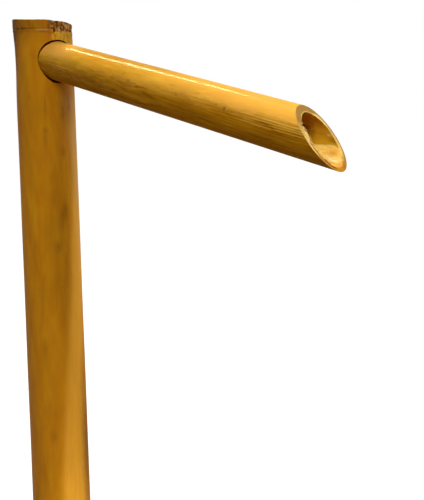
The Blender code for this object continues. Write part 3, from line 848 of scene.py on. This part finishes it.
def bambooMaterial(name, look):
    material, add, plug = newMaterial(name, {
        "Roughness": look["roughness"], "IOR": 1.5, "Specular IOR Level": look["specular"],
        "Coat Weight": look["coat"], "Coat Roughness": look["coatRoughness"], "Coat IOR": 1.5})
    space = add("Attribute", attribute_name="culmSpace")["Vector"]
    field = {key: add("Attribute", attribute_name=key)["Fac"] for key in bambooFields}
    pattern = addPatterns(add, space, bambooPatterns)
    cloud = pattern["cloud"]
    streak = pattern["streak"]
    fine = pattern["fine"]

    def over(base, *layers):
        # colours laid over the base one after another. Each comes with one or two factors that multiply:
        # an output as it is, or in a list with its limits and what these turn into
        for colour, *factors in layers:
            factors = [add("MapRange", item)[0] if isinstance(item, list) else item for item in factors]
            if len(factors) == 2:
                factors = [add("Math", factors, operation="MULTIPLY")[0]]
            colour = look[colour] if isinstance(colour, str) else colour
            base = add("Mix", {0: factors[0], 6: base, 7: colour}, data_type="RGBA")[2]
        return base

    apart = add("Math", [streak, cloud], operation="SUBTRACT")[0]
    tone = add("Math", [apart, 0.32], operation="MULTIPLY")[0]
    tone = add("Math", [tone, cloud], operation="ADD")[0]
    skin = add("ValToRGB", [tone], [(0.33, look["dark"]), (0.67, look["light"]), (0.5, look["body"])])[0]
    skin = over(skin, ("olive", [pattern["hue"], 0.52, 0.68, 0, look["mottle"]]),
                ("red", [pattern["hue"], 0.48, 0.32, 0, look["mottle"]]))
    contrast = look["fibreContrast"]
    shade = add("MapRange", [fine, 0.3, 0.7, 1 - contrast, 1 + contrast])[0]
    skin = add("VectorMath", {0: skin, "Scale": shade}, operation="SCALE")[0]
    # the paler parts keep some of the streaks; on the post's strip and beside the socket they are painted
    # light
    skin = over(skin, ("bleach", field["bleach"], [streak, 0.35, 0.65, 1, 0.72]))

    # weathered side, with an edge broken into blotches: towards the mouth it has dark and pale lines, and
    # nearer the post soft blotches instead
    worn = add("Math", [field["worn"], 1.15], operation="MULTIPLY")[0]
    wisp = add("Math", [pattern["wisp"], 1.3], operation="MULTIPLY")[0]
    worn = add("Math", [worn, wisp], operation="ADD")[0]
    distance = add("SeparateXYZ", [space])[2]
    lined = add("MapRange", [distance, 0.12, 0.3, 0.12, 1])[0]
    far = add("MapRange", [distance, 0.18, 0.32, 1, 0])[0]
    near = add("MapRange", [distance, 0.05, 0.13, 0.15, 1])[0]
    blotched = add("Math", [far, near], operation="MULTIPLY")[0]
    wornSkin = over(
        look["worn"], ("wornFar", [distance, 0.09, 0.2]),
        ("wornDark", [streak, 0.5, 0.6, 0, 0.6], blotched),
        ("wornPale", [streak, 0.48, 0.38, 0, 0.45], blotched),
        ("wornDark", [pattern["lines"], 0.54, 0.66, 0, 0.75], lined),
        ("wornPale", [pattern["lines"], 0.45, 0.35, 0, 0.75], lined))
    skin = over(skin, (wornSkin, [worn, 0.82, 1.62, 0, 0.97], [field["worn"], 0, 0.15]))

    # torn strands; the branch scar with dark cracks; peeled flakes and stains, among them painted
    # highlights, reflection and shade
    scarTone = add("ValToRGB", [pattern["bark"]], [
        (0.4, look["scarDark"]), (0.61, look["scarLight"]), (0.48, look["scarMid"])])[0]
    skin = over(
        skin, ("torn", field["torn"], [pattern["strand"], 0.37, 0.53, 0.1, 1]),
        (scarTone, field["scar"]), ("flake", field["flake"]),
        ("stain", field["stain"], [pattern["mottle"], 0.3, 0.7, 0.68, 1.12]))

    # cut wood: bundle ends 0.7 mm apart, drawn out where the cut is slanting
    cells = add("Mapping", {"Scale": (1500, 1500, 40), "Vector": space})[0]
    bundles = add("TexVoronoi", {"Scale": 1, "Vector": cells})[0]
    # the pale cut carries painted highlight on its inner edge, the soaked part painted shade
    cut = over(
        look["cut"], ("freshCut", field["fresh"]), ("wetCut", field["wet"]), ("soaked", field["shade"]),
        ("cutDark", [bundles, 0.1, 0.5, 0.55, 0]), ("cutDark", [cloud, 0.45, 0.65, 0, 0.35]))
    # lining of the bore; where it is wet it is painted lighter, as painted light on the water, with amber
    # patches and small pale glints, besides the spots listed for them
    wetWoodLit = over(
        look["wetFloorPaintedLight"], ("amber", [pattern["wetTone"], 0.46, 0.36, 0, 0.3]),
        ("glint", [pattern["wetTone"], 0.58, 0.66, 0, 0.35]), ("amber", field["amber"]))
    lining = over(
        look["inside"], (wetWoodLit, field["dampAndLit"]), ("cutDark", [streak, 0.45, 0.68, 0, 0.18]),
        ("stain", field["stain"]), ("glint", field["glint"]))
    plug("Base Color", over(skin, (cut, field["cutWood"]), (lining, field["inside"])))

    rawWood = add("Math", [field["cutWood"], field["scar"]], operation="MAXIMUM")[0]
    sheen = add("MapRange", [cloud, 0.35, 0.65, -0.05, 0.06])[0]
    sheen = add("Math", [sheen, look["roughness"]], operation="ADD")[0]
    plug("Roughness", add("Mix", {0: rawWood, 2: sheen, 3: look["rawRoughness"]})[0])
    # the varnish is gone from raw wood, and nearly gone from the weathered side
    bare = add("Math", [field["worn"], 0.9], operation="MULTIPLY")[0]
    bare = add("Math", [rawWood, bare], operation="MAXIMUM")[0]
    plug("Coat Weight", add("MapRange", [bare, 0, 1, look["coat"], 0])[0])

    ridges = add("Math", [fine, 0.4], operation="MULTIPLY")[0]
    waves = add("Math", [streak, 0.6], operation="MULTIPLY")[0]
    cracks = add("Math", [pattern["bark"], field["scar"]], operation="MULTIPLY")[0]
    cracks = add("Math", [cracks, 6], operation="MULTIPLY")[0]
    relief = add("Math", [ridges, waves], operation="ADD")[0]
    relief = add("Math", [relief, cracks], operation="ADD")[0]
    plug("Normal", add("Bump", {"Strength": 0.25, "Distance": 0.1 * mm, "Height": relief})[0])
    return material


# Pale dry wood hairs: split bamboo, matt, a little lighter than the cut
fibrePatterns = {"shade": ((900, 900, 900), 2, 0.5, 0)}


def fibreMaterial():
    settings = {"Roughness": 0.6, "Specular IOR Level": 0.05}
    material, add, plug = newMaterial("split_bamboo_fibre", settings)
    shade = addPatterns(add, add("TexCoord")["Object"], fibrePatterns)["shade"]
    plug("Base Color", add("Mix", {0: shade, 6: "#ffe2a6", 7: "#e4b064"}, data_type="RGBA")[2])
    return material


# Plain technical finishes: rubber (dark, matt, fine bloom), vinyl hose (soft shine), moulded nylon
# (fine spark texture), sprung steel (bluish grey with rolling lines)
plainLooks = {
    # on the socket sleeve this dark rubber also paints the shade in the gap round the arm
    "rubber_and_gap_shade": {"colours": ("#2c0b03", "#411606"), "roughness": 0.85, "specular": 0.12,
                       "grain": (700, 700, 700), "depth": 0.03},
    "extruded_vinyl": {"colours": ("#141416", "#232326"), "roughness": 0.38,
                       "grain": (260, 260, 40), "depth": 0.02},
    "moulded_nylon": {"colours": ("#2a2a2d", "#38383c"), "roughness": 0.5,
                      "grain": (1600, 1600, 1600), "depth": 0.03},
    "sprung_steel": {"colours": ("#a9adb2", "#c6c9cc"), "roughness": 0.32, "metallic": 1.0,
                     "grain": (300, 300, 3000), "depth": 0.01},
}


def plainMaterial(name):
    look = {"metallic": 0.0, "specular": 0.5, **plainLooks[name]}
    settings = {"Metallic": look["metallic"], "Specular IOR Level": look["specular"]}
    material, add, plug = newMaterial(name, settings)
    plans = {"grain": (look["grain"], 3, 0.5, 0), "wear": ((90, 90, 90), 2, 0.5, 0)}
    pattern = addPatterns(add, add("TexCoord")["Object"], plans)
    first, second = look["colours"]
    wear = add("MapRange", [pattern["wear"], 0.35, 0.65])[0]
    plug("Base Color", add("Mix", {0: wear, 6: first, 7: second}, data_type="RGBA")[2])
    rough = look["roughness"]
    plug("Roughness", add("MapRange", [pattern["grain"], 0.3, 0.7, rough - 0.06, rough + 0.08])[0])
    depth = look["depth"] * mm
    plug("Normal", add("Bump", {"Strength": 0.4, "Distance": depth, "Height": pattern["grain"]})[0])
    return material


# Put the pieces in

post = buildPost()
post.data.materials.append(bambooMaterial("lacquered_post_bamboo", postLook))
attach(post, "post")
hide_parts("post")
print("post:", len(post.data.polygons), "faces")

arm = buildArm()
arm.data.materials.append(bambooMaterial("lacquered_arm_bamboo", armLook))
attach(arm, "arm")
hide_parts("spout_arm")
print("arm:", len(arm.data.polygons), "faces")

fibres = buildFibres()
fibres.data.materials.append(fibreMaterial())
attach(fibres, "arm")
print("fibres:", fibreForm["count"])

nodeFinishes = {
    # dark rubber sleeve: it also paints the shade in the gap round the arm
    "socket_sleeve": "rubber_and_gap_shade",
    "riser_hose": "extruded_vinyl",
    "outlet_hose": "extruded_vinyl",
    "elbow": "moulded_nylon",
    "inlet_tail": "moulded_nylon",
    "lower_clip": "sprung_steel",
    "upper_clip": "sprung_steel",
}
finishes = {name: plainMaterial(name) for name in plainLooks}
for node, finish in nodeFinishes.items():
    materials = frame["nodes"][node].data.materials
    materials.clear()
    materials.append(finishes[finish])
print("inner pieces finished:", len(nodeFinishes))


# Floor, world, lamps and camera

stageLook = {
    "size": 12, "bounce": (0.17, 0.14, 0.11, 1), "floor": (0.32, 0.32, 0.32, 1), "floorGlow": 0.88,
    "daylight": (1, 0.94, 0.84, 1), "daylightLevel": 0.13, "white": (1, 1, 1, 1),
}


def showWhite(tree, lighting, seen, output):
    # the first shader lights the object; camera, glossy and transmission rays see the second
    path = addNode(tree, "LightPath")
    rays = path["Is Camera Ray"]
    for kind in ("Is Glossy Ray", "Is Transmission Ray"):
        rays = addNode(tree, "Math", [rays, path[kind]], operation="MAXIMUM")[0]
    addNode(tree, output, [addNode(tree, "MixShader", [rays, lighting, seen])[0]])


def buildFloor():
    look = stageLook
    size = look["size"]
    corners = np.array([[-size, -size, 0], [size, -size, 0], [size, size, 0], [-size, size, 0]])
    floor = makeMesh("floor", corners, [[0, 1, 2, 3]])
    material = bpy.data.materials.new("pale_floor")
    material.use_nodes = True
    tree = material.node_tree
    tree.nodes.clear()
    bounce = addNode(tree, "BsdfDiffuse", {"Color": look["bounce"]})[0]
    shown = addNode(tree, "BsdfDiffuse", {"Color": look["floor"]})[0]
    glow = addNode(tree, "Emission", {"Color": look["white"], "Strength": look["floorGlow"]})[0]
    both = addNode(tree, "AddShader", [shown, glow])[0]
    showWhite(tree, bounce, both, "OutputMaterial")
    floor.data.materials.append(material)


def buildWorld():
    look = stageLook
    world = bpy.data.worlds.new("studio")
    bpy.context.scene.world = world
    world.use_nodes = True
    tree = world.node_tree
    tree.nodes.clear()
    daylight = {"Color": look["daylight"], "Strength": look["daylightLevel"]}
    soft = addNode(tree, "Background", daylight)[0]
    white = addNode(tree, "Background", {"Color": look["white"], "Strength": 1})[0]
    showWhite(tree, soft, white, "OutputWorld")


lampPlan = {
    "keySun": {"place": (-2.04, 0.6, 2.115), "target": (0, 0, 0), "power": 1.45, "angle": 24,
               "colour": (1, 0.96, 0.88)},
    "strip": {"place": (-1.53, 0.62, 2.295), "target": (0.14, -0.01, 0.6), "power": 32,
              "size": (0.74, 0.095), "lie": (0.533, 0.386, 0.129), "colour": (1, 0.89, 0.54)},
    "overhead": {"place": (-0.8, 0.3, 2.6), "target": (0.2, 0, 0.55), "power": 12, "size": (0.5, 0.5),
                 "colour": (1, 0.97, 0.9)},
    "front": {"place": (1.05, -1.25, 1.75), "target": (0.1, 0, 0.45), "power": 19, "size": (0.9, 0.9),
              "colour": (1, 0.97, 0.92)},
    "behindRight": {"place": (0.05, 0.36, 0.45), "target": (0, 0, 0.45), "power": 0.62, "size": (0.15, 0.15),
                    "colour": (1, 0.95, 0.84)},
    "lowRight": {"place": (0.28, 0.03, 0.05), "target": (0, 0, 0.15), "power": 0.34, "size": (0.12, 0.12),
                 "colour": (1, 0.94, 0.82)},
    "mouth": {"place": (1, 0.02, 1.12), "target": (0.385, 0, 0.545), "power": 14.4, "cone": 26,
              "soft": 0.06, "colour": (1, 0.96, 0.88)},
}


def buildLamps():
    # sun and strip stand behind the post and high; the strip lies so that its image runs along the arm,
    # and it alone is mirrored in the varnish: the others are broad soft daylight
    for name, plan in lampPlan.items():
        kind = "SUN" if "angle" in plan else "SPOT" if "cone" in plan else "AREA"
        data = bpy.data.lights.new(name, kind)
        data.color = plan["colour"]
        data.energy = plan["power"]
        if kind == "SUN":
            data.angle = math.radians(plan["angle"])
        elif kind == "SPOT":
            data.spot_size = math.radians(plan["cone"])
            data.spot_blend = 1.0
            data.shadow_soft_size = plan["soft"]
        else:
            data.shape = "RECTANGLE"
            data.size, data.size_y = plan["size"]
        lamp = addObject(name, data)
        lamp.location = plan["place"]
        back = Vector(plan["place"]) - Vector(plan["target"])
        lamp.rotation_euler = back.to_track_quat("Z", "Y").to_euler()
        if "lie" in plan:
            back.normalize()
            long = Vector(plan["lie"])
            long = (long - back * long.dot(back)).normalized()
            lamp.rotation_euler = Matrix((long, back.cross(long), back)).transposed().to_euler()
        lamp.visible_camera = False
        lamp.visible_glossy = name == "strip"


cameraView = {
    "place": (0.81742, -0.47626, 0.57973),
    "yaw": 49.724, "pitch": 10.366, "roll": -0.457,  # degrees: turn left, look down, tilt
    "focalPixels": 918.06, "frameHeight": 500, "sensor": 36.0,
}


def buildCamera():
    view = cameraView
    data = bpy.data.cameras.new("photo_camera")
    data.sensor_width = view["sensor"]
    data.lens = view["focalPixels"] * view["sensor"] / view["frameHeight"]
    data.clip_start = 0.05
    camera = addObject("photo_camera", data)
    camera.location = view["place"]
    turn = Matrix.Rotation(math.radians(view["yaw"]), 3, "Z")
    look = Matrix.Rotation(math.radians(90 - view["pitch"]), 3, "X")
    tilt = Matrix.Rotation(math.radians(view["roll"]), 3, "Z")
    camera.rotation_euler = (turn @ look @ tilt).to_euler()
    bpy.context.scene.camera = camera


buildFloor()
buildWorld()
buildLamps()
buildCamera()
bpy.context.scene.view_settings.view_transform = "Standard"
print("stage, lamps and camera set")

bpy.context.view_layer.update()
